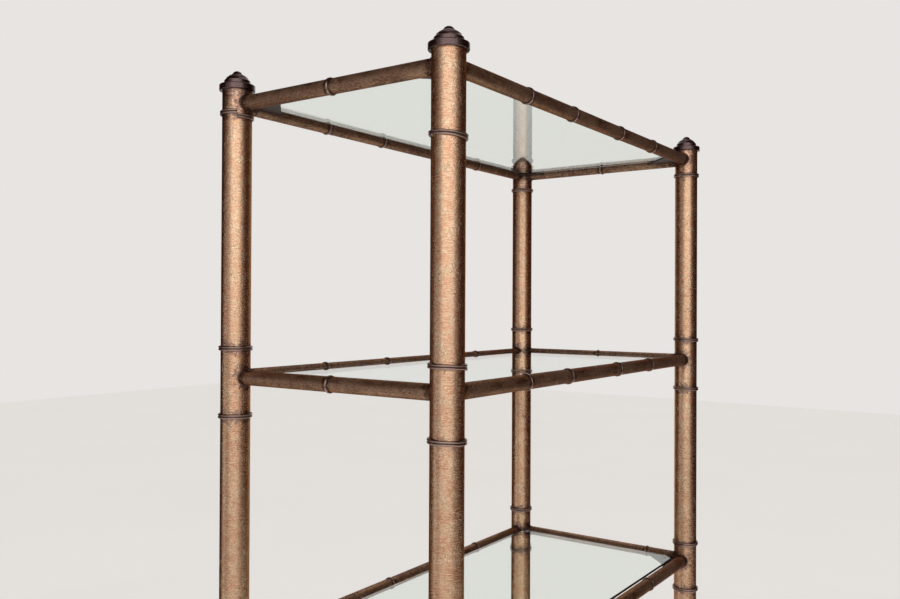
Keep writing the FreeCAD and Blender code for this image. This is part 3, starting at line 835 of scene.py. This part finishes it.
def make_rail_collars(tier, colours):
    """The ring collars of one tier."""
    dice = random.Random(f"rings {tier}")
    node = f"rail_collars_tier_{tier}"
    reach = extent(node).z / 2
    parts = []
    for side in SIDES:
        along, offset = rail_line(side)
        for place in ring_places(side, tier):
            centre = offset + along * place + UP * TIER_HEIGHT[tier]
            tilt = Matrix.Rotation(math.radians(dice.uniform(-RING_LEAN_SPREAD, RING_LEAN_SPREAD)), 3, UP)
            parts.append(rail_ring(centre, along, reach, tilt))
    points, faces = join(parts)
    finish = material_named("relieved_bronze_ring", patinated_bronze, colour=colours.ring, relieved=True)
    # The ring darkens away from its crown: patina in the corners by the rail, and painted shade.
    rubbed = rubbed_and_shaded_crowns(points, [math.sin(about) for about in RING_ANGLES])
    new_piece(f"ring_{node}", points, faces, finish, "dark_bronze", node, rubbed)


class ETAGERE_OT_rail_collars(Operator):
    """Slide the ring collars onto the rails"""
    bl_idname = "etagere.rail_collars"
    bl_label = "Rail collars"

    def execute(self, context):
        for tier in TIERS:
            make_rail_collars(tier, context.scene.etagere_colours)
        return {"FINISHED"}


# ---- pieces whose CAD shape stays ----

class ETAGERE_OT_finials(Operator):
    """Blacken the turned finials"""
    bl_idname = "etagere.finials"
    bl_label = "Finials"

    def execute(self, context):
        finish = material_named("turned_black_bronze", patinated_bronze, roughness=0.25, lines=0.06 * MM,
                                colour=context.scene.etagere_colours.black_bronze)
        for post in POSTS:
            repaint(f"finial_{post}", finish)
        return {"FINISHED"}


class ETAGERE_OT_plates(Operator):
    """Paint the corner plates"""
    bl_idname = "etagere.plates"
    bl_label = "Corner plates"

    def execute(self, context):
        finish = material_named("brown_enamel", brown_enamel)
        for tier in TIERS:
            repaint(f"corner_plates_tier_{tier}", finish)
        return {"FINISHED"}


class ETAGERE_OT_glass(Operator):
    """Glaze the shelves"""
    bl_idname = "etagere.glass"
    bl_label = "Glass shelves"

    def execute(self, context):
        finish = material_named("float_glass", float_glass, colour=context.scene.etagere_colours.glass)
        for tier in TIERS:
            repaint(f"glass_shelf_tier_{tier}", finish)
        return {"FINISHED"}


class ETAGERE_OT_bumpers(Operator):
    """Clear the vinyl bumpers"""
    bl_idname = "etagere.bumpers"
    bl_label = "Glass bumpers"

    def execute(self, context):
        finish = material_named("soft_vinyl", soft_vinyl)
        for tier in TIERS:
            repaint(f"glass_bumpers_tier_{tier}", finish)
        return {"FINISHED"}


class ETAGERE_OT_glides(Operator):
    """Grain the foot glides"""
    bl_idname = "etagere.glides"
    bl_label = "Foot glides"

    def execute(self, context):
        finish = material_named("moulded_nylon", moulded_nylon)
        for post in POSTS:
            repaint(f"foot_glide_{post}", finish)
        return {"FINISHED"}


# ---- the stage ----

# The softboxes stand in four rows round the left and the front: the two ends of each row on plan.
WINDOW = (-2.39, 0.04), (-0.86, -3.42)
SIDE = (-3.12, 1.45), (-2.39, 0.04)
FAR = (-3.12, 1.45), (-2.00, 2.80)
FILL = (-0.86, -3.42), (0.60, -3.42)
# Each softbox: its name, its row, its lowest and highest edge, and its radiance.
SOFTBOXES = (
    ("window_high", WINDOW, 1.6, 3.1, 1.3),
    ("window_middle", WINDOW, 1.25, 1.6, 0.75),
    ("window_low", WINDOW, 0.4, 1.25, 0.48),
    ("side_high", SIDE, 1.6, 3.1, 0.45),
    ("side_low", SIDE, 0.4, 1.6, 0.3),
    ("side_far", FAR, 0.4, 1.4, 0.8),
    ("fill", FILL, 0.4, 3.1, 0.12),
)
# The dark drape round the studio that only reflections see, open behind the etagere. Its ends are angles in degrees,
# counted from the right by way of the back. It thins out over the fade, and its foot comes in over the floor as far as
# DRAPE_FOOT.
DRAPE_ENDS = 52, 368
DRAPE_FADE = 14
DRAPE_STEPS = 64
DRAPE_DISTANCE = 3.6
DRAPE_FOOT = 2.2
DRAPE_LOW = 1 * MM
DRAPE_HIGH = 6.0

# The light from all round, and half the width of the floor.
WORLD_STRENGTH = 0.86
FLOOR_HALF = 12.0

# The camera, with the lens and the width of the sensor in millimetres.
CAMERA_PLACE = Vector((-1.2994, -0.8111, 1.5032))
CAMERA_FORWARD = Vector((0.81836, 0.57468, 0.00623))
CAMERA_ROLL = math.radians(0.275)
CAMERA_LENS = 33.95
CAMERA_SENSOR = 36.0


def make_camera(context):
    """The camera, at eye level in front of the left front post."""
    data = bpy.data.cameras.new("camera")
    data.lens = CAMERA_LENS
    data.sensor_width = CAMERA_SENSOR
    camera = bpy.data.objects.new("camera", data)
    camera.location = CAMERA_PLACE
    turn = CAMERA_FORWARD.to_track_quat("-Z", "Y").to_matrix() @ Matrix.Rotation(CAMERA_ROLL, 3, "Z")
    camera.rotation_euler = turn.to_euler()
    context.scene.collection.objects.link(camera)
    context.scene.camera = camera


def make_lamp(context, name, left, right, low, high, radiance):
    """An upright rectangular softbox of that radiance between two places on plan, facing the etagere."""
    place = ((left + right) / 2).to_3d() + UP * (low + high) / 2
    width = (right - left).length
    height = high - low
    facing = UP.cross((right - left).to_3d())
    if facing.dot(place) > 0:
        facing.negate()
    data = bpy.data.lights.new(name, "AREA")
    data.shape = "RECTANGLE"
    data.size = width
    data.size_y = height
    data.energy = radiance * math.pi * width * height
    lamp = bpy.data.objects.new(name, data)
    lamp.location = place
    lamp.rotation_euler = facing.to_track_quat("-Z", "Y").to_euler()
    lamp.visible_camera = False
    context.scene.collection.objects.link(lamp)


def make_drape(context):
    """The drape: a curved upright sheet round the etagere, a flat one over it, and a foot that lies on the floor."""
    profile = ((DRAPE_FOOT, DRAPE_LOW), (DRAPE_DISTANCE, DRAPE_LOW), (DRAPE_DISTANCE, DRAPE_HIGH), (0.0, DRAPE_HIGH))
    first, last = DRAPE_ENDS
    points = []
    cover = []
    for step in range(DRAPE_STEPS + 1):
        angle = first + (last - first) * step / DRAPE_STEPS
        x, y = math.cos(math.radians(angle)), math.sin(math.radians(angle))
        points.extend((distance * x, distance * y, level) for distance, level in profile)
        cover.extend([smoothstep(min(angle - first, last - angle) / DRAPE_FADE)] * len(profile))
    faces = []
    for start in range(0, DRAPE_STEPS * len(profile), len(profile)):
        for band in range(start, start + len(profile) - 1):
            beyond = band + len(profile)
            faces.append((band, beyond, beyond + 1, band + 1))
    mesh = bpy.data.meshes.new("drape")
    mesh.from_pydata(points, [], faces)
    mesh.attributes.new("cover", "FLOAT", "POINT").data.foreach_set("value", cover)
    mesh.materials.append(material_named("brown_felt", brown_felt))
    drape = bpy.data.objects.new("drape", mesh)
    for ray in ("camera", "diffuse", "volume_scatter", "shadow"):
        setattr(drape, f"visible_{ray}", False)
    context.scene.collection.objects.link(drape)


def make_world(context):
    """A pale studio all round."""
    world = bpy.data.worlds.new("studio")
    world.use_nodes = True
    tree = world.node_tree
    tree.nodes.clear()
    shader = add_node(tree, "Background", {"Color": linear("F7F4F1"), "Strength": WORLD_STRENGTH})
    add_node(tree, "OutputWorld", {"Surface": shader.outputs[0]})
    context.scene.world = world


def make_floor(context):
    """A wide sheet of pale paper."""
    corners = [(FLOOR_HALF * x, FLOOR_HALF * y, 0) for x, y in ((-1, -1), (1, -1), (1, 1), (-1, 1))]
    mesh = bpy.data.meshes.new("floor")
    mesh.from_pydata(corners, [], [(0, 1, 2, 3)])
    mesh.materials.append(material_named("studio_paper", studio_paper))
    floor = bpy.data.objects.new("floor", mesh)
    context.scene.collection.objects.link(floor)


class ETAGERE_OT_stage(Operator):
    """Set up the floor, the world, the lamps and the camera"""
    bl_idname = "etagere.stage"
    bl_label = "Stage"

    def execute(self, context):
        make_camera(context)
        make_world(context)
        make_floor(context)
        for name, (left, right), low, high, radiance in SOFTBOXES:
            make_lamp(context, name, Vector(left), Vector(right), low, high, radiance)
        make_drape(context)
        context.scene.view_settings.view_transform = "Standard"
        return {"FINISHED"}


# ---- the add-on ----

OPERATORS = (
    ETAGERE_OT_stage,
    ETAGERE_OT_posts,
    ETAGERE_OT_rails,
    ETAGERE_OT_welds,
    ETAGERE_OT_post_collars,
    ETAGERE_OT_rail_collars,
    ETAGERE_OT_finials,
    ETAGERE_OT_plates,
    ETAGERE_OT_glass,
    ETAGERE_OT_bumpers,
    ETAGERE_OT_glides,
)


class ETAGERE_PT_sidebar(Panel):
    """The etagere's pieces, one button each"""
    bl_label = "Etagere"
    bl_space_type = "VIEW_3D"
    bl_region_type = "UI"
    bl_category = "Etagere"

    def draw(self, context):
        for operator in OPERATORS:
            self.layout.operator(operator.bl_idname)
        for group in (context.scene.etagere_sizes, context.scene.etagere_colours):
            for name in group.__annotations__:
                self.layout.prop(group, name)


CLASSES = (EtagereSizes, EtagereColours, *OPERATORS, ETAGERE_PT_sidebar)


def register():
    for cls in CLASSES:
        bpy.utils.register_class(cls)
    bpy.types.Scene.etagere_sizes = PointerProperty(type=EtagereSizes)
    bpy.types.Scene.etagere_colours = PointerProperty(type=EtagereColours)


def unregister():
    del bpy.types.Scene.etagere_colours
    del bpy.types.Scene.etagere_sizes
    for cls in reversed(CLASSES):
        bpy.utils.unregister_class(cls)


def main():
    """Make every piece."""
    register()
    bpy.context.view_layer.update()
    for operator in OPERATORS:
        group, name = operator.bl_idname.split(".")
        getattr(getattr(bpy.ops, group), name)()


if __name__ == "__main__":
    main()
